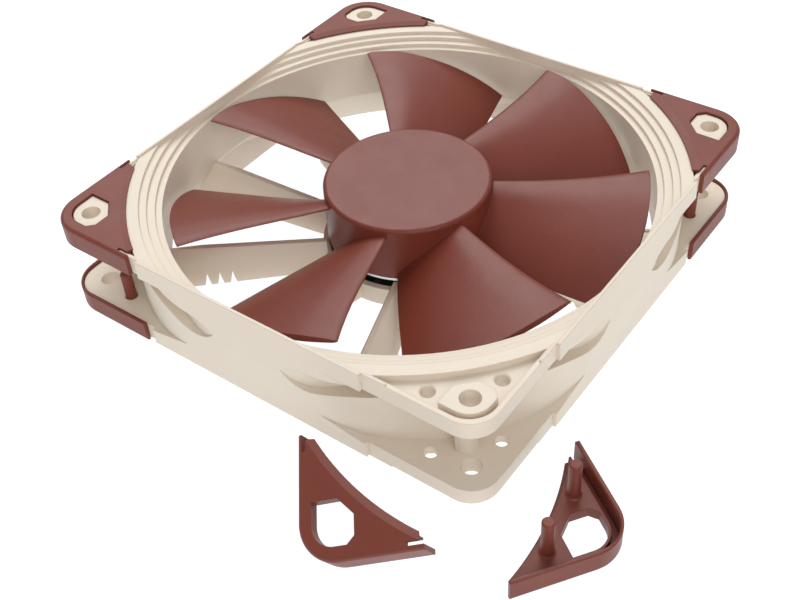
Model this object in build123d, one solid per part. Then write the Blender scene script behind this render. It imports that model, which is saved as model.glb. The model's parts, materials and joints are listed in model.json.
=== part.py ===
"""Square 120 mm case fan: open-corner frame, seven-bladed impeller, motor and rubber corner pads.

Millimetres. The origin is on the fan's axis at the level the fan stands on, +Z points up to the intake side.
Six corner pads are fitted. The two pads of the front right corner are off and lie on the floor beside it.
"""
import os
from math import atan2, degrees, radians, sqrt, tan

from build123d import *

# ---- frame
HALF_SIDE = 60.0
FRAME_BOTTOM = 0.5
FRAME_TOP = 25.5
CORNER_INSET = 1.1          # the corners stand back by this much to take the pads' skirts
CORNER_START = 31.0         # distance from the middle of a side where the inset starts
CORNER_RADIUS = 6.6
SIDE_DRAFT = 1.8            # degrees that the sides lean in from the middle of the height
LOWER_FLANGE_TOP = 4.9
UPPER_FLANGE_BOTTOM = 20.9
WALL_CORNER_RADIUS = 45.0   # the wall between the flanges is a square with these very round corners
RIM_WIDTH = 1.1
SWOOSH_DEPTH = 19.0         # how far in the groove under the upper flange may reach

# ---- duct
DUCT_R = 58.4
STEP_RADII = (59.9, 61.8, 63.5, 66.5)
STEP_FLOORS = (22.4, 23.3, 24.2, 25.0)
FLARE_START = 9.6
FLARE_R = 62.6
GROOVE_R = 60.6             # the side grooves stop at this radius, so they don't break into the duct
WALL_REACH = 1.0            # vanes and trough are sunk this far into the duct wall

# ---- screw and peg holes, measured from the axis
SCREW_OFFSET = 52.5
SCREW_R = 2.2
PEG_NEAR = 43.6
PEG_FAR = 54.1
PEG_HOLE_R = 1.5
PEG_HOLE_CHAMFER = 0.3
POST_OFFSET = 48.5
POST_R = 2.4
WEB_OFFSET = 46.5           # middle of the web that ties a post to the duct wall
WEB_DEPTH = 8.0

# ---- pockets for the pads
POCKET_DEPTH = 2.1
POCKET_RADIUS = 6.1
PAD_RIM_DROP = 0.4          # the rim round a pocket is this much lower than the frame's top
RIDGE_WIDTH = 0.6           # full-height ridge at each end of the lowered rim, which fills a pad's slot
ISLAND_IN = 47.9
ISLAND_OUT = 56.8
ISLAND_RISE = 2.0
ISLAND_ROUND = 5.0
ISLAND_CHAMFER = 1.6
ISLAND_INNER_CHAMFER = 3.6

# ---- ramps where the lower flange grows out of the sides
RAMP_START = 11.0
RAMP_END = 29.6
RAMP_TOP = 8.1
RAMP_DEPTH = 6.0

# ---- guide vanes
VANE_SPACINGS = (34.5, 34.6, 35.6, 34.9, 32.4, 31.0, 30.4, 30.4, 31.0, 32.2, 33.0)
FIRST_VANE = -60.6          # angle of the first vane's lower edge, degrees
VANE_BOTTOM = 1.8
VANE_TOP = 9.8              # at the duct wall; the upper edge falls towards the motor
VANE_TOP_INNER = 8.1
VANE_INNER = 20.9
VANE_LEAN = 5.2             # how far the upper edge stands back from the lower one
VANE_LEAN_RADIUS = 40.0     # the lean is turned into an angle at this radius
VANE_CURVE = 1.6            # 1 is a flat plate, more bends the upper part over
VANE_THICKNESS = 1.4
VANE_THINNING = 0.35        # share of the thickness that is lost towards the upper edge
NOTCH_RADII = (44.6, 47.7, 50.8)
NOTCH_WIDTH = 1.9
NOTCH_HEIGHT = 2.8
CABLE_VANE = 7
TROUGH_HEIGHT = 3.4
TROUGH_WIDTH = 5.4
TROUGH_OPENING = 3.2

# ---- motor base, part of the frame
BASE_R = 21.7
BASE_BOTTOM = 1.0
BASE_TOP = 6.0
BASE_WALL = 1.4
BASE_FLOOR = 3.1
LEDGE_WIDTH = 1.2           # ring inside the base that the circuit board rests on
BOSS_R = 5.2
BOSS_TOP = 8.2
LABEL_R = 19.4
LABEL_RECESS = 0.3          # the recess is this much wider than the label
LABEL_THICKNESS = 0.2
LABEL_GAP = 0.1             # the label lies this far inside its recess

# ---- impeller
BLADES = 7
HUB_R = 20.3
HUB_TOP = 23.0
HUB_BOTTOM = 8.6
HUB_WALL = 1.5
HUB_ROUND = 1.0
TIP_R = 56.8
FIRST_BLADE = -37.3         # angle of the middle of the first blade's root
BLADE_THICKNESS = 1.9
BLADE_THINNING = 0.62       # share of the thickness that is lost towards the trailing edge
# each row: distance from the axis, half the blade's angle, angle ahead of the root, height of the
# leading edge, height of the trailing edge, camber
BLADE_SECTIONS = (
    (17.0, 23.4, -2.3, 21.0, 9.6, 1.5),
    (30.0, 20.4, -1.3, 21.4, 9.9, 1.9),
    (43.0, 19.1, -0.1, 22.4, 10.5, 2.1),
    (58.5, 19.2, 1.6, 23.9, 11.2, 2.1),
)

# ---- rotor
YOKE_R = 18.75
YOKE_WALL = 0.9
YOKE_RIM_R = 20.1           # the cup's mouth is turned out to this radius, under the hub's lower edge
YOKE_BOTTOM = HUB_BOTTOM - 0.85
MAGNET_WALL = 1.9
MAGNET_BOTTOM = YOKE_BOTTOM + 0.6
MAGNET_TOP = 19.0
AIR_GAP = 0.45
BUSH_R = 4.0
BUSH_SPIGOT_R = 3.0
SHAFT_R = 1.5
SHAFT_GROOVE = 0.3
SHAFT_GROOVE_HEIGHT = 0.6

# ---- bearing, from its closed lower end upwards
SHELL_R = 4.2
SHELL_WALL = 0.9
SHELL_BOTTOM = 2.1
SHELL_FLOOR = 2.6
SHELL_TOP = 16.6
STABILISER_TOP = 3.2
SHAFT_BOTTOM = 3.75
RUNNING_GAP = 0.02
CLIP_BOTTOM = 4.6
CLIP_TOP = 5.0
CLIP_SLIT = 0.8
SLEEVE_BOTTOM = 5.4
SLEEVE_TOP = 15.6
SLEEVE_GAP = 0.03
SLEEVE_CHAMFER = 0.3
SEAL_BOTTOM = 15.7
SEAL_TOP = 16.3
SEAL_GAP = 0.2
SHELL_FIT = 0.1             # small round pieces in the shell are this much smaller than its bore

# ---- stator
STATOR_R = YOKE_R - YOKE_WALL - MAGNET_WALL - AIR_GAP
STACK_BOTTOM = 10.0
STACK_TOP = 15.0
POLES = 4
FIRST_POLE = 45.0
STATOR_RING_R = 7.2
POLE_SLOT = 3.2
POLE_TIP = 2.2
NECK_WIDTH = 4.0
BOBBIN_PLATE = 0.6
BOBBIN_TIP = 1.0
BOBBIN_NECK = 4.6
COLLAR_RISE = 1.4
FOOT_R = 0.9
FOOT_OFFSET = 6.2
COIL_INNER = 7.4
COIL_OUTER = STATOR_R - 2.9
COIL_WIDTH = 4.7
COIL_BUILD = 1.1            # thickness of the wire wound round a pole neck
PIN_SIDE = 0.64

# ---- circuit board
BOARD_TOP = 5.6
BOARD_THICKNESS = 1.2
BOARD_GAP = 0.4
LEAD_NOTCH = (4.0, 3.0)     # notch in the board's edge for the fan's lead: depth and width
# each row: length, width, height, distance from the axis, then the angles
CHIP = (4.9, 3.9, 1.4, 11.5, (200,))
SENSOR = (3.0, 1.6, 1.2, 13.6, (45,))
CAPACITORS = (2.0, 1.25, 1.0, 11.0, (120, 138, 156))
RESISTORS = (1.6, 0.8, 0.5, 12.0, (250, 262, 274, 300))

# ---- pads
PAD_OUT = 60.0              # outer faces of a fitted pad's skirt, flush with the frame's sides
PAD_PROUD = 0.5             # a fitted pad's flat face stands this far off the frame
PAD_CORNER_RADIUS = 8.6
PAD_PLATE = 2.5
PAD_GAP = 0.1
SKIRT_HEIGHT = 5.6
PAD_END = 33.5              # the skirts reach to this distance from the middle of a side
PLATE_END = 34.6
COVER_ARC_R = 66.2
PLUG_ARC_R = 66.9
PAD_ROUND = 0.9             # rounding of a pad's outer edge
PAD_SLOPE_WIDTH = 1.5       # the plate slopes down by this much along its curved edge
PAD_SLOPE_DEPTH = 0.6
PAD_EDGE_CHAMFER = 0.25
PAD_WINDOW_GAP = 0.2
SLOT_WIDTH = 0.8
SLOT_END = 37.0
PEG_R = 1.35
PEG_CHAMFER = 0.3
PEG_COLLAR = 0.4
PEG_TIP = 12.2

# where the two loose pads lie: the place of the outer corner of each, and how far it is turned
LOOSE_INTAKE_TURN = -57.1
LOOSE_INTAKE_PLACE = (37.5, -90.1)
LOOSE_EXHAUST_TURN = 54.9
LOOSE_EXHAUST_PLACE = (89.1, -50.3)

THROUGH = 40.0              # longer than any cut through the fan


def cylinder(radius, low, high, x=0.0, y=0.0):
    return Pos(x, y, low) * extrude(Circle(radius), high - low)


def tube(outer, inner, low, high):
    return Pos(0, 0, low) * extrude(Circle(outer) - Circle(inner), high - low)


def square_prism(half, low, high, radius=0.0):
    outline = RectangleRounded(2 * half, 2 * half, radius) if radius else Rectangle(2 * half, 2 * half)
    return Pos(0, 0, low) * extrude(outline, high - low)


def four_turns(shape):
    return [Rot(0, 0, 90 * turn) * shape for turn in range(4)]


# ------------------------------------------------------------------ frame
def flange_outline():
    """Square outline whose corners stand back a little from its sides."""
    corners = RectangleRounded(*[2 * (HALF_SIDE - CORNER_INSET)] * 2, CORNER_RADIUS)
    along_x = Rectangle(2 * CORNER_START, 2 * HALF_SIDE)
    along_y = Rectangle(2 * HALF_SIDE, 2 * CORNER_START)
    return corners + along_x + along_y


def side_swoosh():
    """Leaf-shaped groove under the upper flange, drawn on the front side's right half."""
    tip = (9.6, 14.9)
    far_end = (41.5, UPPER_FLANGE_BOTTOM)
    near_end = (31.0, UPPER_FLANGE_BOTTOM)
    with BuildSketch(Plane.XZ.offset(HALF_SIDE)) as leaf:
        with BuildLine():
            Spline(tip, (13.0, 12.7), (24.5, 14.9), (34.5, 17.6), far_end)
            Line(far_end, near_end)
            Spline(near_end, (25.0, 18.7), (14.0, 17.2), tip)
        make_face()
    return extrude(leaf.sketch, -SWOOSH_DEPTH)


def side_ramp():
    """Thin wedge where the lower flange grows out of the side wall."""
    points = [(RAMP_START, LOWER_FLANGE_TOP), (RAMP_START, RAMP_TOP), (RAMP_END, LOWER_FLANGE_TOP)]
    outline = Plane.XZ.offset(HALF_SIDE) * make_face(Polyline(*points, close=True))
    return extrude(outline, -RAMP_DEPTH)


def drafted_blank():
    """Square block that is widest at half height; its sides lean in towards the flanges' outer faces."""
    middle = (FRAME_TOP + FRAME_BOTTOM) / 2
    half = extrude(Rectangle(2 * HALF_SIDE, 2 * HALF_SIDE), FRAME_TOP - middle, taper=SIDE_DRAFT)
    upper = Pos(0, 0, middle) * half
    return upper + flip_over(upper)


def both_hands(shape):
    return [shape, mirror(shape, Plane.YZ)]


def pad_window(grow=0.0):
    """Outline round the front right screw hole: one rounded corner and three cut ones."""
    low = ISLAND_IN - grow
    high = ISLAND_OUT + grow
    small = ISLAND_CHAMFER
    large = ISLAND_INNER_CHAMFER
    points = [
        (low + large, -low),
        (high - small, -low),
        (high, -low - small),
        (high, -high),
        (low, -high),
        (low, -low - large),
    ]
    outline = make_face(Polyline(*points, close=True))
    outer_corner = outline.vertices().sort_by(Axis((0, 0, 0), (1, -1, 0)))[-1]
    return fillet(outer_corner, ISLAND_ROUND)


def pad_pocket():
    """Recess in the upper flange's front right corner, with the island round its screw hole."""
    floor = FRAME_TOP - POCKET_DEPTH
    outer = HALF_SIDE - CORNER_INSET
    inside = outer - RIM_WIDTH
    recess = RectangleRounded(2 * inside, 2 * inside, POCKET_RADIUS)
    recess = (recess & from_side_middle(CORNER_START)) - Circle(STEP_RADII[-1])
    ridges = (from_side_middle(CORNER_START) - from_side_middle(SLOT_END - PAD_GAP)) - Rectangle(
        2 * (outer - RIDGE_WIDTH), 2 * (outer - RIDGE_WIDTH))
    lowered = from_side_middle(CORNER_START) - Circle(COVER_ARC_R - PAD_GAP) - ridges
    deep = Pos(0, 0, floor) * extrude(recess, POCKET_DEPTH + 1)
    rim_cut = Pos(0, 0, FRAME_TOP - PAD_RIM_DROP) * extrude(lowered, 1)
    island = Pos(0, 0, floor) * extrude(pad_window(), ISLAND_RISE)
    return deep + rim_cut - island


def peg_hole(x, y):
    floor = FRAME_TOP - POCKET_DEPTH
    hole = cylinder(PEG_HOLE_R, -1, THROUGH, x, y)
    mouth = Pos(x, y, floor - PEG_HOLE_CHAMFER / 2) * Cone(
        PEG_HOLE_R, PEG_HOLE_R + PEG_HOLE_CHAMFER, PEG_HOLE_CHAMFER)
    return hole + mouth


def flip_over(shape):
    """Turn a cut for the upper flange into the same cut for the lower one."""
    return mirror(shape, Plane.XY.offset((FRAME_TOP + FRAME_BOTTOM) / 2))


def intake_steps():
    """Stepped ring that the frame's inner edge goes down in, cut off by the side rims."""
    steps = cylinder(STEP_RADII[0], STEP_FLOORS[0], THROUGH)
    for radius, floor in zip(STEP_RADII[1:], STEP_FLOORS[1:]):
        steps += cylinder(radius, floor, THROUGH)
    return steps & square_prism(HALF_SIDE - RIM_WIDTH, 0, THROUGH)


def exhaust_flare():
    height = FLARE_START - FRAME_BOTTOM
    extra = 1.0
    slope = (FLARE_R - DUCT_R) / height
    cone = Pos(0, 0, (FRAME_BOTTOM - extra + FLARE_START) / 2) * Cone(
        FLARE_R + slope * extra, DUCT_R, height + extra)
    return cone & square_prism(HALF_SIDE - RIM_WIDTH, -1, THROUGH)


def vane_section():
    """Curved, leaning plate: its upper edge meets the turning air, its lower edge is upright."""
    height = VANE_TOP - VANE_BOTTOM
    upper, lower = [], []
    steps = 6
    for step in range(steps + 1):
        part = step / steps
        middle = VANE_LEAN * (1 - part ** VANE_CURVE)
        slope = -VANE_LEAN * VANE_CURVE * part ** (VANE_CURVE - 1) / height
        length = sqrt(1 + slope * slope)
        half = VANE_THICKNESS / 2 * (1.0 - VANE_THINNING * part)
        z = VANE_BOTTOM + height * part
        upper.append((middle + half / length, z - half * slope / length))
        lower.append((middle - half / length, z + half * slope / length))
    with BuildSketch(Plane.YZ) as section:
        with BuildLine():
            Spline(*upper)
            Line(upper[-1], lower[-1])
            Spline(*reversed(lower))
            Line(lower[0], upper[0])
        make_face()
    return section.sketch


def notches():
    """Three V cuts in a vane's lower edge near its outer end."""
    cuts = []
    for radius in NOTCH_RADII:
        points = [
            (radius - NOTCH_WIDTH / 2, VANE_BOTTOM - 0.5),
            (radius + NOTCH_WIDTH / 2, VANE_BOTTOM - 0.5),
            (radius, VANE_BOTTOM + NOTCH_HEIGHT),
        ]
        outline = Plane.XZ.offset(4) * make_face(Polyline(*points, close=True))
        cuts.append(extrude(outline, -12))
    return cuts


def vane_angles():
    """Direction of each vane's upper edge; the uneven spacing spreads the fan's tone."""
    lean_angle = degrees(atan2(VANE_LEAN, VANE_LEAN_RADIUS))
    angle = FIRST_VANE - lean_angle
    angles = []
    for spacing in VANE_SPACINGS:
        angles.append(angle)
        angle -= spacing
    return angles


def above_vanes():
    """Shallow bowl of space that the vanes leave clear under the blades' trailing edges."""
    slope = (VANE_TOP - VANE_TOP_INNER) / (DUCT_R - VANE_INNER)
    reach = FLARE_R + 5
    points = [
        (0, VANE_TOP_INNER - slope * VANE_INNER),
        (reach, VANE_TOP_INNER + slope * (reach - VANE_INNER)),
        (reach, THROUGH),
        (0, THROUGH),
    ]
    return revolve(Plane.XZ * make_face(Polyline(*points, close=True)), Axis.Z)


def inside_walls():
    """Space that vanes and trough may fill: the duct and a little of the wall round it."""
    duct = cylinder(FLARE_R + WALL_REACH, 0, THROUGH)
    return duct & square_prism(HALF_SIDE - RIM_WIDTH / 2, 0, THROUGH)


def guide_vanes():
    reach = inside_walls() - above_vanes()
    blade = Pos(VANE_INNER, 0, 0) * extrude(vane_section(), HALF_SIDE)
    notched = blade - notches()
    vanes = []
    for number, angle in enumerate(vane_angles()):
        vane = blade if number == CABLE_VANE else notched
        vanes.append((Rot(0, 0, angle) * vane) & reach)
    return vanes


def cable_trough(low, width):
    """Bar under one vane, from the motor base out through the duct wall."""
    length = HALF_SIDE + 12 - BASE_R
    angle = vane_angles()[CABLE_VANE]
    bar = Pos(BASE_R - 1 + length / 2, VANE_LEAN - 1.0, 0) * Rectangle(length, width)
    return Rot(0, 0, angle) * (Pos(0, 0, low) * extrude(bar, TROUGH_HEIGHT))


def motor_base():
    inner = BASE_R - BASE_WALL
    base = cylinder(BASE_R, BASE_BOTTOM, BASE_TOP)
    base -= cylinder(inner, BASE_FLOOR, THROUGH)
    base += tube(inner, inner - LEDGE_WIDTH, BASE_FLOOR, BOARD_TOP - BOARD_THICKNESS)
    base += cylinder(BOSS_R, BASE_BOTTOM, BOSS_TOP)
    base -= cylinder(SHELL_R, SHELL_BOTTOM, THROUGH)
    base -= cylinder(LABEL_R + LABEL_RECESS, BASE_BOTTOM - 1, BASE_BOTTOM + LABEL_THICKNESS + LABEL_GAP)
    return base


def fan_frame():
    outline = flange_outline()
    lower = Pos(0, 0, FRAME_BOTTOM) * extrude(outline, LOWER_FLANGE_TOP - FRAME_BOTTOM)
    upper = Pos(0, 0, UPPER_FLANGE_BOTTOM) * extrude(outline, FRAME_TOP - UPPER_FLANGE_BOTTOM)
    wall = square_prism(HALF_SIDE, LOWER_FLANGE_TOP, UPPER_FLANGE_BOTTOM, WALL_CORNER_RADIUS)
    body = lower + wall + upper
    post = cylinder(POST_R, LOWER_FLANGE_TOP, UPPER_FLANGE_BOTTOM, POST_OFFSET, -POST_OFFSET)
    web = Pos(0, 0, LOWER_FLANGE_TOP) * extrude(
        Pos(WEB_OFFSET, -WEB_OFFSET) * Rot(0, 0, 45) * Rectangle(2 * POST_R, WEB_DEPTH),
        UPPER_FLANGE_BOTTOM - LOWER_FLANGE_TOP)
    corner_cuts = [pad_pocket(), flip_over(pad_pocket())]
    for x, y in ((PEG_NEAR, -PEG_FAR), (PEG_FAR, -PEG_NEAR)):
        corner_cuts += [peg_hole(x, y), flip_over(peg_hole(x, y))]
    corner_cuts.append(cylinder(SCREW_R, -1, THROUGH, SCREW_OFFSET, -SCREW_OFFSET))
    ramps = both_hands(side_ramp())
    swooshes = [leaf - cylinder(GROOVE_R, 0, THROUGH) for leaf in both_hands(side_swoosh())]
    for feature in (post, web, *ramps):
        body += four_turns(feature)
    for cut in (*corner_cuts, *swooshes):
        body -= four_turns(cut)
    body -= cylinder(DUCT_R, -1, THROUGH)
    body -= intake_steps()
    body -= exhaust_flare()
    body += motor_base()
    body += guide_vanes()
    trough = cable_trough(BASE_BOTTOM, TROUGH_WIDTH) & inside_walls()
    body += trough - cylinder(BASE_R - 1, 0, THROUGH)
    body -= cable_trough(BASE_BOTTOM - 1.0, TROUGH_OPENING)
    return body & drafted_blank()


# ------------------------------------------------------------------ impeller
def blade_section(distance, half_angle, ahead, lead_z, trail_z, camber):
    """One cut through a blade, on a plane square to the root's middle radius."""
    half_chord = distance * tan(radians(half_angle))
    shift = distance * tan(radians(ahead))
    rise = lead_z - trail_z
    upper, lower = [], []
    for part in (0.0, 0.02, 0.08, 0.2, 0.4, 0.6, 0.8, 0.93, 1.0):
        along = shift + half_chord * (1 - 2 * part)
        height = lead_z - rise * part + camber * 4 * part * (1 - part)
        slope = (rise - camber * 4 * (1 - 2 * part)) / (2 * half_chord)
        length = sqrt(1 + slope * slope)
        front = min(1.0, part / 0.2) ** 0.5
        half = BLADE_THICKNESS / 2 * front * (1.0 - BLADE_THINNING * part)
        upper.append((along - half * slope / length, height + half / length))
        lower.append((along + half * slope / length, height - half / length))
    plane = Plane(origin=(distance, 0, 0), x_dir=(0, 1, 0), z_dir=(1, 0, 0))
    with BuildSketch(plane) as section:
        with BuildLine():
            Spline(*upper)
            Line(upper[-1], lower[-1])
            Spline(*reversed(lower))
        make_face()
    return section.sketch


def blade():
    """Lofted blade along +X; the middle of its root is on that axis."""
    return loft([blade_section(*row) for row in BLADE_SECTIONS])


def hub():
    shell = cylinder(HUB_R, HUB_BOTTOM, HUB_TOP)
    return fillet(shell.edges().group_by(Axis.Z)[-1], HUB_ROUND)


def impeller():
    ring = cylinder(TIP_R, 0, THROUGH) - cylinder(HUB_R - HUB_WALL / 2, 0, THROUGH)
    one = blade() & ring
    body = hub()
    for number in range(BLADES):
        body += Rot(0, 0, FIRST_BLADE + 360 / BLADES * number) * one
    body -= cylinder(YOKE_R, 0, HUB_TOP - HUB_WALL)
    return body


# ------------------------------------------------------------------ rotor
YOKE_TOP = HUB_TOP - HUB_WALL


def rotor_yoke():
    cup = tube(YOKE_R, YOKE_R - YOKE_WALL, YOKE_BOTTOM, YOKE_TOP)
    rim = tube(YOKE_RIM_R, YOKE_R, YOKE_BOTTOM, HUB_BOTTOM)
    cover = tube(YOKE_R, BUSH_SPIGOT_R, YOKE_TOP - YOKE_WALL, YOKE_TOP)
    return cup + rim + cover


def rotor_magnet():
    outer = YOKE_R - YOKE_WALL
    return tube(outer, outer - MAGNET_WALL, MAGNET_BOTTOM, MAGNET_TOP)


def shaft_bush():
    flange = tube(BUSH_R, SHAFT_R, SHELL_TOP + 1.0, YOKE_TOP - YOKE_WALL)
    spigot = tube(BUSH_SPIGOT_R, SHAFT_R, YOKE_TOP - YOKE_WALL, YOKE_TOP)
    return flange + spigot


def rotor_shaft():
    middle = (CLIP_BOTTOM + CLIP_TOP) / 2
    shaft = cylinder(SHAFT_R, SHAFT_BOTTOM, YOKE_TOP)
    shaft = fillet(shaft.edges().group_by(Axis.Z)[0], SHAFT_R / 2)
    groove = tube(SHAFT_R + 1, SHAFT_R - SHAFT_GROOVE, middle - SHAFT_GROOVE_HEIGHT / 2,
                  middle + SHAFT_GROOVE_HEIGHT / 2)
    return shaft - groove


# ------------------------------------------------------------------ bearing
SHELL_BORE = SHELL_R - SHELL_WALL


def bearing_shell():
    return cylinder(SHELL_R, SHELL_BOTTOM, SHELL_TOP) - cylinder(SHELL_BORE, SHELL_FLOOR, THROUGH)


def stabiliser_magnet():
    return cylinder(SHELL_BORE - SHELL_FIT, SHELL_FLOOR, STABILISER_TOP)


def thrust_pad():
    return cylinder(SHELL_BORE - SHELL_FIT, STABILISER_TOP, SHAFT_BOTTOM - RUNNING_GAP)


def retaining_clip():
    """Thin split ring that sits in the shaft's groove."""
    ring = tube(SHELL_BORE - SHELL_FIT, SHAFT_R - SHAFT_GROOVE + SHELL_FIT, CLIP_BOTTOM, CLIP_TOP)
    return ring - Pos(SHELL_R / 2, 0, CLIP_BOTTOM) * Box(SHELL_R, CLIP_SLIT, 2)


def bearing_sleeve():
    sleeve = tube(SHELL_BORE, SHAFT_R + SLEEVE_GAP, SLEEVE_BOTTOM, SLEEVE_TOP)
    outer_ends = sleeve.edges().filter_by(GeomType.CIRCLE).sort_by(SortBy.RADIUS)[-2:]
    return chamfer(outer_ends, SLEEVE_CHAMFER)


def oil_seal():
    return tube(SHELL_BORE, SHAFT_R + SEAL_GAP, SEAL_BOTTOM, SEAL_TOP)


# ------------------------------------------------------------------ stator
def round_poles(shape):
    return [Rot(0, 0, FIRST_POLE + 360 / POLES * number) * shape for number in range(POLES)]


def pole_shape(neck, tip_ring):
    """Ring round the bearing tube, four necks and four curved pole tips, as an outline."""
    arms = round_poles(Pos(STATOR_R / 2, 0) * Rectangle(STATOR_R, neck))
    slots = round_poles(Rot(0, 0, 180 / POLES) * Pos(STATOR_R, 0) * Rectangle(2 * STATOR_R, POLE_SLOT))
    tips = Circle(STATOR_R) - Circle(STATOR_R - tip_ring) - slots
    outline = Circle(STATOR_RING_R) + [arm & Circle(STATOR_R - tip_ring / 2) for arm in arms]
    return outline + tips - Circle(SHELL_R)


def stator_core():
    return Pos(0, 0, STACK_BOTTOM) * extrude(pole_shape(NECK_WIDTH, POLE_TIP), STACK_TOP - STACK_BOTTOM)


def bobbin_plate(low):
    """Plastic insulator that covers one face of the laminations, with a lip behind each pole tip."""
    return Pos(0, 0, low) * extrude(pole_shape(BOBBIN_NECK, BOBBIN_TIP), BOBBIN_PLATE)


def bobbin_upper():
    return bobbin_plate(STACK_TOP) + tube(STATOR_RING_R, SHELL_R, STACK_TOP, STACK_TOP + COLLAR_RISE)


def bobbin_lower():
    collar = tube(STATOR_RING_R, SHELL_R, BOSS_TOP + 0.1, STACK_BOTTOM)
    feet = round_poles(cylinder(FOOT_R, BOARD_TOP, STACK_BOTTOM - BOBBIN_PLATE / 2, FOOT_OFFSET))
    return bobbin_plate(STACK_BOTTOM - BOBBIN_PLATE) + collar + feet


def stator_coils():
    """Four windings, one round each pole neck."""
    length = COIL_OUTER - COIL_INNER
    depth = STACK_TOP - STACK_BOTTOM + 2 * BOBBIN_PLATE + 0.1
    solid = Box(length, COIL_WIDTH + 2 * COIL_BUILD, depth + 2 * COIL_BUILD)
    solid = fillet(solid.edges().filter_by(Axis.X), COIL_BUILD * 0.95)
    winding = solid - Box(length + 1, COIL_WIDTH, depth)
    middle = Pos((COIL_INNER + COIL_OUTER) / 2, 0, (STACK_TOP + STACK_BOTTOM) / 2)
    return Compound(children=round_poles(middle * winding))


def winding_pins():
    """Square pins that carry the winding ends down into the circuit board."""
    top = STACK_BOTTOM - BOBBIN_PLATE
    pin = Pos(STATOR_R - BOBBIN_TIP / 2, 0, (BOARD_TOP + top) / 2) * Box(PIN_SIDE, PIN_SIDE, top - BOARD_TOP)
    return Compound(children=round_poles(pin))


# ------------------------------------------------------------------ circuit board
def circuit_board():
    """Ring-shaped board with a notch in its edge for the fan's lead."""
    low = BOARD_TOP - BOARD_THICKNESS
    board = tube(BASE_R - BASE_WALL - BOARD_GAP, BOSS_R + BOARD_GAP, low, BOARD_TOP)
    return board - Pos(-BASE_R + BASE_WALL, 0, low) * Box(*LEAD_NOTCH, 4 * BOARD_THICKNESS)


def on_board(length, width, height, radius, angles):
    """Small flat components on the board, one at each angle, with softened upper edges."""
    block = Box(width, length, height)
    block = chamfer(block.edges().group_by(Axis.Z)[-1], height / 8)
    placed = Pos(radius, 0, BOARD_TOP + height / 2) * block
    return Compound(children=[Rot(0, 0, angle) * placed for angle in angles])


def hub_label():
    low = BASE_BOTTOM + LABEL_GAP
    return cylinder(LABEL_R, low, low + LABEL_THICKNESS)


# ------------------------------------------------------------------ pads
def from_side_middle(distance):
    """Square that covers the front right corner down to this distance from the middle of each side."""
    middle = distance + HALF_SIDE / 2
    return Pos(middle, -middle) * Rectangle(HALF_SIDE, HALF_SIDE)


def pad_skirt(outer, top):
    inner_half = HALF_SIDE - CORNER_INSET + PAD_GAP
    inner = RectangleRounded(2 * inner_half, 2 * inner_half, CORNER_RADIUS)
    outline = (outer & from_side_middle(PAD_END)) - inner
    skirt = Pos(0, 0, top - SKIRT_HEIGHT) * extrude(outline, SKIRT_HEIGHT)
    return chamfer(skirt.edges().group_by(Axis.Z)[0], PAD_EDGE_CHAMFER)


def pad_plate(outer, top):
    """Flat cover over the flange with a plug below it that fills the pocket."""
    outline = outer & from_side_middle(PLATE_END)
    cover_low = FRAME_TOP - PAD_RIM_DROP + PAD_GAP
    plug_low = top - PAD_PLATE
    plug_half = HALF_SIDE - CORNER_INSET - RIM_WIDTH - PAD_GAP
    plug_outline = RectangleRounded(2 * plug_half, 2 * plug_half, POCKET_RADIUS) & outline
    cover = Pos(0, 0, cover_low) * extrude(outline - Circle(COVER_ARC_R), top - cover_low)
    plug = Pos(0, 0, plug_low) * extrude(plug_outline - Circle(PLUG_ARC_R), cover_low - plug_low)
    return cover + plug


def rounded_blank(outer, top):
    """Solid square block whose upper edge is rounded; a pad is cut to it."""
    block = Pos(0, 0, top - SKIRT_HEIGHT) * extrude(outer, SKIRT_HEIGHT)
    return fillet(block.edges().group_by(Axis.Z)[-1], PAD_ROUND)


def curved_slope(top):
    """Ring cut that makes a pad's plate slope down to its curved inner edge."""
    slope = Cone(COVER_ARC_R, COVER_ARC_R + PAD_SLOPE_WIDTH, PAD_SLOPE_DEPTH)
    return Pos(0, 0, top - PAD_SLOPE_DEPTH / 2) * slope


def end_slots(top):
    """Slits that free the thin ends of the plate from the skirt and let the frame's ridges in."""
    outer = HALF_SIDE - CORNER_INSET + PAD_GAP
    middle = (PAD_END + SLOT_END) / 2
    length = SLOT_END - PAD_END + 1
    slot = Pos(outer - SLOT_WIDTH / 2, -middle + 0.5, top) * Box(SLOT_WIDTH, length, 2 * SKIRT_HEIGHT)
    diagonal = Plane(origin=(0, 0, 0), z_dir=(1, 1, 0))
    return [slot, mirror(slot, diagonal)]


def corner_pad():
    """Upper pad of the front right corner, in place."""
    top = FRAME_TOP + PAD_PROUD
    outer = RectangleRounded(2 * PAD_OUT, 2 * PAD_OUT, PAD_CORNER_RADIUS)
    pad = (pad_skirt(outer, top) + pad_plate(outer, top)) & rounded_blank(outer, top)
    pad -= [curved_slope(top), *end_slots(top)]
    pad -= extrude(pad_window(PAD_WINDOW_GAP), THROUGH)
    for x, y in ((PEG_NEAR, -PEG_FAR), (PEG_FAR, -PEG_NEAR)):
        pad += pad_peg(x, y, top)
    return pad


def pad_peg(x, y, top):
    base = top - PAD_PLATE
    peg = cylinder(PEG_R, top - PEG_TIP, base + 0.5, x, y)
    peg = chamfer(peg.edges().group_by(Axis.Z)[0], PEG_CHAMFER)
    collar = Pos(x, y, base - PEG_COLLAR / 2) * Cone(PEG_R, PEG_R + PEG_COLLAR, PEG_COLLAR)
    return peg + collar


def fitted_pads():
    """The six pads that are on: three round the intake side and three round the exhaust side."""
    corners = {"back_right": 90, "back_left": 180, "front_left": 270}
    pads = {}
    for corner, turn in corners.items():
        upper = Rot(0, 0, turn) * corner_pad()
        pads[f"intake_pad_{corner}"] = upper
        pads[f"exhaust_pad_{corner}"] = flip_over(upper)
    return pads


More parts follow.
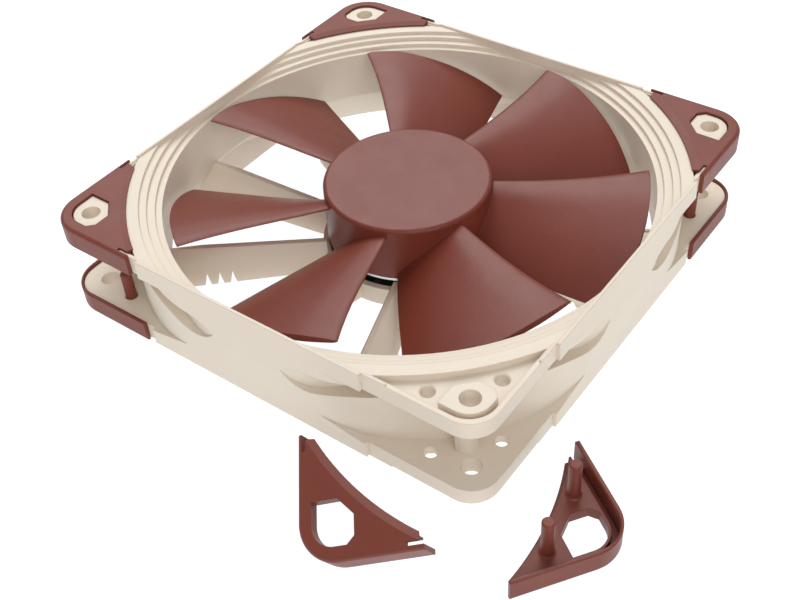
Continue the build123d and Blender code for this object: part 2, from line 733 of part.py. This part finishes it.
def lay_down(pad, turn, x, y):
    """Turn a front right pad about its own outer corner, then set it on the floor at x, y."""
    moved = Pos(x, y, 0) * Rot(0, 0, turn) * Pos(-PAD_OUT, PAD_OUT, 0) * pad
    return Pos(0, 0, -moved.bounding_box().min.Z) * moved


def loose_intake_pad():
    """Lies face up, leaning on the rounded corner of its skirt and on the tips of its two pegs."""
    corner_reach = PAD_CORNER_RADIUS * (sqrt(2) - 1)
    peg_reach = (2 * PAD_OUT - PEG_NEAR - PEG_FAR) / sqrt(2) - PEG_R + PEG_CHAMFER
    lean = degrees(atan2(PEG_TIP - SKIRT_HEIGHT, peg_reach - corner_reach))
    across = Axis((PAD_OUT, -PAD_OUT, FRAME_TOP + PAD_PROUD), (1, 1, 0))
    return lay_down(corner_pad().rotate(across, lean), LOOSE_INTAKE_TURN, *LOOSE_INTAKE_PLACE)


def loose_exhaust_pad():
    """Lies on its flat face with its pegs up."""
    return lay_down(flip_over(corner_pad()), LOOSE_EXHAUST_TURN, *LOOSE_EXHAUST_PLACE)


def export(shape, name):
    export_step(shape, f"parts/{name}.step")


def main():
    os.makedirs("parts", exist_ok=True)
    nodes = {
        "fan_frame": fan_frame(),
        "impeller": impeller(),
        "rotor_yoke": rotor_yoke(),
        "rotor_magnet": rotor_magnet(),
        "shaft_bush": shaft_bush(),
        "rotor_shaft": rotor_shaft(),
        "bearing_shell": bearing_shell(),
        "bearing_sleeve": bearing_sleeve(),
        "oil_seal": oil_seal(),
        "retaining_clip": retaining_clip(),
        "thrust_pad": thrust_pad(),
        "stabiliser_magnet": stabiliser_magnet(),
        "stator_core": stator_core(),
        "bobbin_upper": bobbin_upper(),
        "bobbin_lower": bobbin_lower(),
        "stator_coils": stator_coils(),
        "winding_pins": winding_pins(),
        "circuit_board": circuit_board(),
        "driver_chip": on_board(*CHIP),
        "hall_sensor": on_board(*SENSOR),
        "board_capacitors": on_board(*CAPACITORS),
        "board_resistors": on_board(*RESISTORS),
        "hub_label": hub_label(),
        "loose_intake_pad": loose_intake_pad(),
        "loose_exhaust_pad": loose_exhaust_pad(),
        **fitted_pads(),
    }
    for name, shape in nodes.items():
        export(shape, name)


main()
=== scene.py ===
"""Looks of the square case fan: moulded plastic, rubber pads, motor metals, studio light and camera.

Metres, in the CAD frame: origin on the fan's axis at the floor, +Z up towards the intake side.
"""
import json
import math

import bpy
from mathutils import Matrix, Vector

MM = 0.001

# ---- camera, at the photograph's viewing angle
CAMERA_AZIMUTH = math.radians(38.756)
CAMERA_ELEVATION = math.radians(43.099)
CAMERA_ROLL = math.radians(-4.15)
CAMERA_DISTANCE = 259.383 * MM
CAMERA_TARGET = Vector((16.603, -26.911, 12.5)) * MM
CAMERA_LENS = 52.006
CAMERA_SENSOR = 36.0

# ---- light and floor
FLOOR_HALF = 2.0
FLOOR_DROP = 0.05 * MM
FLOOR_COLOUR = (0.3, 0.3, 0.3, 1)
FLOOR_GLOW = 0.96           # the floor is lit from below, like a product photographer's light table
ROOM_STRENGTH = 0.46
ROOM_LIGHT = (0.93, 0.97, 1.0, 1)      # colour of the floor and the room, a little cooler than the lamps

# ---- colours, linear
BEIGE = (0.745, 0.65, 0.535, 1)
BEIGE_DEEP = (0.72, 0.62, 0.50, 1)
BROWN = (0.185, 0.037, 0.021, 1)
BROWN_DEEP = (0.158, 0.028, 0.014, 1)
PAD_BROWN = (0.200, 0.049, 0.032, 1)
PAD_DEEP = (0.168, 0.038, 0.023, 1)

# ---- grain of moulded surfaces
PATCH_SIZE = 18 * MM        # slow changes of tone
SPECK_SHARE = 0.4
SHEEN_SIZE = 6 * MM
SHEEN_SPREAD = 0.03
SMOOTH_ANGLE = math.radians(28)         # edges sharper than this stay sharp
BEVEL_SAMPLES = 4

# ---- grain of metals and small parts
FINE_EDGE = 0.1 * MM        # radius that edges of metal parts, board and label are softened to
SCRATCH_SIZE = 0.15 * MM
SCRATCH_DEPTH = 0.004 * MM
SCRATCH_STRETCH = 0.03      # the noise is squeezed to this along the scratches, which makes them long
SHEET_THICKNESS = 0.5 * MM  # one steel sheet of the stator
WAVE_LENGTH = 0.314         # length of one band of the wave texture when its scale is 1
SHEET_BUMP = 0.05 * MM
BOARD_CELL = 2.2 * MM       # size of the board's copper areas
BOARD_BUMP = 0.03 * MM
LABEL_RING_R = 17.6 * MM
LABEL_RING_HALF_WIDTH = 0.35 * MM
LABEL_WAVE = 3 * MM         # the film is not quite flat
LABEL_BUMP = 0.02 * MM


# ------------------------------------------------------------------ node helpers
def add(tree, kind, **sockets):
    """New node with some of its input sockets set; spaces in socket names are written as _."""
    made = tree.nodes.new(kind)
    for name, value in sockets.items():
        made.inputs[name.replace("_", " ")].default_value = value
    return made


def object_place(tree):
    return add(tree, "ShaderNodeTexCoord").outputs["Object"]


def noise(tree, place, size, detail=2.0):
    """Noise whose blotches are about this size, in metres."""
    texture = add(tree, "ShaderNodeTexNoise", Scale=1 / size, Detail=detail)
    tree.links.new(place, texture.inputs["Vector"])
    return texture.outputs["Fac"]


def remap(tree, value, low, high, from_low=0.3, from_high=0.7):
    mapped = add(tree, "ShaderNodeMapRange")
    mapped.inputs["From Min"].default_value = from_low
    mapped.inputs["From Max"].default_value = from_high
    mapped.inputs["To Min"].default_value = low
    mapped.inputs["To Max"].default_value = high
    tree.links.new(value, mapped.inputs["Value"])
    return mapped.outputs["Result"]


def mix_colours(tree, factor, first, second):
    """Colour between first and second; each is a colour or a colour output."""
    mixed = tree.nodes.new("ShaderNodeMix")
    mixed.data_type = "RGBA"
    tree.links.new(factor, mixed.inputs["Factor"])
    for socket, colour in ((mixed.inputs[6], first), (mixed.inputs[7], second)):
        if isinstance(colour, tuple):
            socket.default_value = colour
        else:
            tree.links.new(colour, socket)
    return mixed.outputs[2]


def mix_values(tree, share, first, second):
    """Blend of two value outputs; share is how much of the second one there is."""
    mixed = add(tree, "ShaderNodeMix", Factor=share)
    tree.links.new(first, mixed.inputs[2])
    tree.links.new(second, mixed.inputs[3])
    return mixed.outputs[0]


def blank_material(name, **sockets):
    """Principled material with a uniform value set on some sockets; returns material, tree and shader."""
    material = bpy.data.materials.new(name)
    material.use_nodes = True
    shader = material.node_tree.nodes["Principled BSDF"]
    for socket, value in sockets.items():
        shader.inputs[socket.replace("_", " ")].default_value = value
    return material, material.node_tree, shader


def rounded_bump(tree, shader, height, depth, edge):
    """Bump of this depth on a surface whose edges are softened by a small radius."""
    soft = add(tree, "ShaderNodeBevel", Radius=edge)
    soft.samples = BEVEL_SAMPLES
    bump = add(tree, "ShaderNodeBump", Strength=1.0, Distance=depth)
    tree.links.new(height, bump.inputs["Height"])
    tree.links.new(soft.outputs["Normal"], bump.inputs["Normal"])
    tree.links.new(bump.outputs["Normal"], shader.inputs["Normal"])


# ------------------------------------------------------------------ materials
def moulded(name, colour, deep, roughness, grain, depth, edge, **sockets):
    """Moulded plastic or rubber: uneven tone, spark-eroded grain and softened edges."""
    material, tree, shader = blank_material(name, **sockets)
    place = object_place(tree)
    pits = noise(tree, place, grain, 3)
    patches = remap(tree, noise(tree, place, PATCH_SIZE, 3), 0, 1)
    specks = remap(tree, pits, 0, 1)
    tone = mix_values(tree, SPECK_SHARE, patches, specks)
    tree.links.new(mix_colours(tree, tone, deep, colour), shader.inputs["Base Color"])
    sheen = remap(tree, noise(tree, place, SHEEN_SIZE, 4), roughness - SHEEN_SPREAD, roughness + SHEEN_SPREAD)
    tree.links.new(sheen, shader.inputs["Roughness"])
    rounded_bump(tree, shader, pits, depth, edge)
    return material


def metal(name, colour, deep, roughness, line=None):
    """Metal with fine scratches; line is the direction they run in, as an axis letter."""
    material, tree, shader = blank_material(name, Metallic=1.0)
    place = object_place(tree)
    stretch = tree.nodes.new("ShaderNodeMapping")
    stretch.inputs["Scale"].default_value = [SCRATCH_STRETCH if axis == line else 1.0 for axis in "XYZ"]
    tree.links.new(place, stretch.inputs["Vector"])
    scratches = noise(tree, stretch.outputs["Vector"], SCRATCH_SIZE, 3)
    tree.links.new(mix_colours(tree, scratches, deep, colour), shader.inputs["Base Color"])
    rough = remap(tree, scratches, roughness - 0.06, roughness + 0.08)
    tree.links.new(rough, shader.inputs["Roughness"])
    rounded_bump(tree, shader, scratches, SCRATCH_DEPTH, FINE_EDGE)
    return material


def laminated(name):
    """Stack of thin steel sheets, seen from the side as fine dark lines."""
    material, tree, shader = blank_material(name, Metallic=1.0, Roughness=0.45)
    place = object_place(tree)
    wave = add(tree, "ShaderNodeTexWave", Scale=WAVE_LENGTH / SHEET_THICKNESS, Distortion=0.4)
    wave.bands_direction = "Z"
    tree.links.new(place, wave.inputs["Vector"])
    lines = remap(tree, wave.outputs["Fac"], 0, 1, 0.0, 0.5)
    colour = mix_colours(tree, lines, (0.05, 0.045, 0.04, 1), (0.42, 0.42, 0.43, 1))
    tree.links.new(colour, shader.inputs["Base Color"])
    rounded_bump(tree, shader, lines, SHEET_BUMP, FINE_EDGE)
    return material


def board(name):
    """Black solder mask with faintly paler copper areas showing through."""
    material, tree, shader = blank_material(name, Roughness=0.3)
    place = object_place(tree)
    cells = add(tree, "ShaderNodeTexVoronoi", Scale=1 / BOARD_CELL, Randomness=0.7)
    cells.distance = "CHEBYCHEV"
    tree.links.new(place, cells.inputs["Vector"])
    tracks = remap(tree, cells.outputs["Distance"], 0, 1, 0.30, 0.34)
    colour = mix_colours(tree, tracks, (0.045, 0.047, 0.042, 1), (0.014, 0.016, 0.014, 1))
    tree.links.new(colour, shader.inputs["Base Color"])
    rounded_bump(tree, shader, tracks, BOARD_BUMP, FINE_EDGE)
    return material


def blank_label(name):
    """Unprinted film label: plain field with one ring near its edge."""
    material, tree, shader = blank_material(name, Roughness=0.35)
    place = object_place(tree)
    flat = add(tree, "ShaderNodeVectorMath")
    flat.operation = "MULTIPLY"
    flat.inputs[1].default_value = (1, 1, 0)
    tree.links.new(place, flat.inputs[0])
    radius = add(tree, "ShaderNodeVectorMath")
    radius.operation = "LENGTH"
    tree.links.new(flat.outputs["Vector"], radius.inputs[0])
    ring = add(tree, "ShaderNodeMath")
    ring.operation = "COMPARE"
    ring.inputs[1].default_value = LABEL_RING_R
    ring.inputs[2].default_value = LABEL_RING_HALF_WIDTH
    tree.links.new(radius.outputs["Value"], ring.inputs[0])
    colour = mix_colours(tree, ring.outputs["Value"], (0.12, 0.032, 0.022, 1), (0.55, 0.42, 0.28, 1))
    tree.links.new(colour, shader.inputs["Base Color"])
    rounded_bump(tree, shader, noise(tree, place, LABEL_WAVE, 2), LABEL_BUMP, FINE_EDGE)
    return material


def make_materials():
    """One material for each material slot of the record."""
    frame_grain = dict(roughness=0.5, grain=0.3 * MM, depth=0.010 * MM, edge=0.35 * MM)
    blade_grain = dict(roughness=0.4, grain=0.36 * MM, depth=0.03 * MM, edge=0.3 * MM,
                       Specular_IOR_Level=0.34)
    rubber = dict(roughness=0.42, grain=0.42 * MM, depth=0.02 * MM, edge=0.25 * MM,
                  Specular_IOR_Level=0.27)
    black = ((0.02, 0.02, 0.022, 1), (0.012, 0.012, 0.013, 1))
    small = dict(grain=0.2 * MM, depth=0.004 * MM, edge=0.08 * MM)
    return {
        "frame_plastic": moulded("frame_plastic", BEIGE, BEIGE_DEEP, **frame_grain,
                                 Subsurface_Weight=0.12, Subsurface_Scale=1.5 * MM),
        "impeller_plastic": moulded("impeller_plastic", BROWN, BROWN_DEEP, **blade_grain),
        "pad_rubber": moulded("pad_rubber", PAD_BROWN, PAD_DEEP, **rubber),
        "yoke_steel": metal("yoke_steel", (0.80, 0.80, 0.82, 1), (0.66, 0.66, 0.68, 1), 0.3),
        "magnet_rubber": moulded("magnet_rubber", *black, 0.7, **small),
        "brass": metal("brass", (0.72, 0.53, 0.25, 1), (0.6, 0.42, 0.18, 1), 0.28, "Z"),
        "shaft_steel": metal("shaft_steel", (0.75, 0.75, 0.76, 1), (0.6, 0.6, 0.61, 1), 0.18),
        "shell_brass": metal("shell_brass", (0.70, 0.52, 0.26, 1), (0.58, 0.41, 0.18, 1), 0.26, "Z"),
        "sleeve_bronze": metal("sleeve_bronze", (0.50, 0.32, 0.16, 1), (0.32, 0.19, 0.09, 1), 0.5),
        "seal_rubber": moulded("seal_rubber", *black, 0.6, **small),
        "clip_nylon": moulded("clip_nylon", (0.8, 0.8, 0.76, 1), (0.72, 0.72, 0.66, 1), 0.4, **small),
        "thrust_plastic": moulded("thrust_plastic", *black, 0.35, **small),
        "magnet_steel": metal("magnet_steel", (0.6, 0.6, 0.61, 1), (0.45, 0.45, 0.46, 1), 0.25),
        "laminations": laminated("laminations"),
        "bobbin_nylon": moulded("bobbin_nylon", *black, 0.45, **small),
        "copper_wire": metal("copper_wire", (0.72, 0.26, 0.10, 1), (0.50, 0.15, 0.05, 1), 0.22),
        "pin_metal": metal("pin_metal", (0.75, 0.65, 0.45, 1), (0.6, 0.5, 0.32, 1), 0.3, "Z"),
        "board_black": board("board_black"),
        "chip_black": moulded("chip_black", *black, 0.5, **small),
        "capacitor_ceramic": moulded("capacitor_ceramic", (0.42, 0.28, 0.17, 1), (0.34, 0.22, 0.13, 1), 0.35,
                                     **small),
        "resistor_black": moulded("resistor_black", *black, 0.25, **small),
        "label_film": blank_label("label_film"),
    }


def smooth_shading(node):
    """Smooth over shallow edges only, so that the CAD's sharp edges stay sharp."""
    bpy.context.view_layer.objects.active = node
    node.select_set(True)
    bpy.ops.object.shade_smooth_by_angle(angle=SMOOTH_ANGLE)
    node.select_set(False)


def dress_cad_nodes(materials):
    slots = {row["node"]: row["material_slot"] for row in frame["record"]["subparts"]}
    for name, node in frame["nodes"].items():
        node.data.materials.clear()
        node.data.materials.append(materials[slots[name]])
        smooth_shading(node)


# ------------------------------------------------------------------ studio
def plane(name, half):
    mesh = bpy.data.meshes.new(name)
    corners = [(-half, -half, 0), (half, -half, 0), (half, half, 0), (-half, half, 0)]
    mesh.from_pydata(corners, [], [(0, 1, 2, 3)])
    made = bpy.data.objects.new(name, mesh)
    bpy.context.scene.collection.objects.link(made)
    return made


def make_floor():
    floor = plane("floor", FLOOR_HALF)
    floor.location.z = -FLOOR_DROP
    material, _, _ = blank_material("floor_paper", Roughness=0.9, Specular_IOR_Level=0.1,
                                    Base_Color=FLOOR_COLOUR, Emission_Color=ROOM_LIGHT,
                                    Emission_Strength=FLOOR_GLOW)
    floor.data.materials.append(material)


def direction(azimuth, elevation):
    """Unit vector away from the fan; azimuth 0 is on the -Y side, in front of it, and turns towards +X."""
    return Vector((math.sin(azimuth) * math.cos(elevation), -math.cos(azimuth) * math.cos(elevation),
                   math.sin(elevation)))


def area_light(name, azimuth, elevation, distance, size, power):
    """Square softbox that faces the fan; its angles are in degrees."""
    light = bpy.data.lights.new(name, "AREA")
    light.size = size
    light.energy = power
    made = bpy.data.objects.new(name, light)
    bpy.context.scene.collection.objects.link(made)
    back = direction(math.radians(azimuth), math.radians(elevation))
    made.location = back * distance
    made.rotation_mode = "QUATERNION"
    made.rotation_quaternion = (-back).to_track_quat("-Z", "Y")


def make_lights():
    bpy.context.scene.view_settings.view_transform = "Standard"
    world = bpy.data.worlds.new("studio")
    bpy.context.scene.world = world
    world.use_nodes = True
    background = world.node_tree.nodes["Background"]
    background.inputs["Color"].default_value = ROOM_LIGHT
    background.inputs["Strength"].default_value = ROOM_STRENGTH
    area_light("key", azimuth=-140, elevation=53, distance=0.9, size=0.7, power=6.4)
    area_light("fill", azimuth=48, elevation=34, distance=1.0, size=0.8, power=3.9)


def make_camera():
    camera = bpy.data.cameras.new("camera")
    camera.lens = CAMERA_LENS
    camera.sensor_width = CAMERA_SENSOR
    camera.clip_start = 0.01
    made = bpy.data.objects.new("camera", camera)
    bpy.context.scene.collection.objects.link(made)
    back = direction(CAMERA_AZIMUTH, CAMERA_ELEVATION)
    level_right = (-back).cross(Vector((0, 0, 1))).normalized()
    level_up = level_right.cross(-back)
    right = level_right * math.cos(CAMERA_ROLL) + level_up * math.sin(CAMERA_ROLL)
    up = level_up * math.cos(CAMERA_ROLL) - level_right * math.sin(CAMERA_ROLL)
    turn = Matrix((right, up, back)).transposed()
    made.matrix_world = Matrix.Translation(CAMERA_TARGET + back * CAMERA_DISTANCE) @ turn.to_4x4()
    bpy.context.scene.camera = made


with open("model.json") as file:
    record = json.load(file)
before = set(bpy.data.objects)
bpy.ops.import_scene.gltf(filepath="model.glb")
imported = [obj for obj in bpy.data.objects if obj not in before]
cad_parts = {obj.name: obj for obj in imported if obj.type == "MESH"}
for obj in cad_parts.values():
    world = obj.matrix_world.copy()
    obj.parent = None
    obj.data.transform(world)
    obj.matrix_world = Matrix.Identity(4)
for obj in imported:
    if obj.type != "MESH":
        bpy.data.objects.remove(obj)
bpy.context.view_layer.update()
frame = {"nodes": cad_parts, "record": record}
dress_cad_nodes(make_materials())
make_floor()
make_lights()
make_camera()
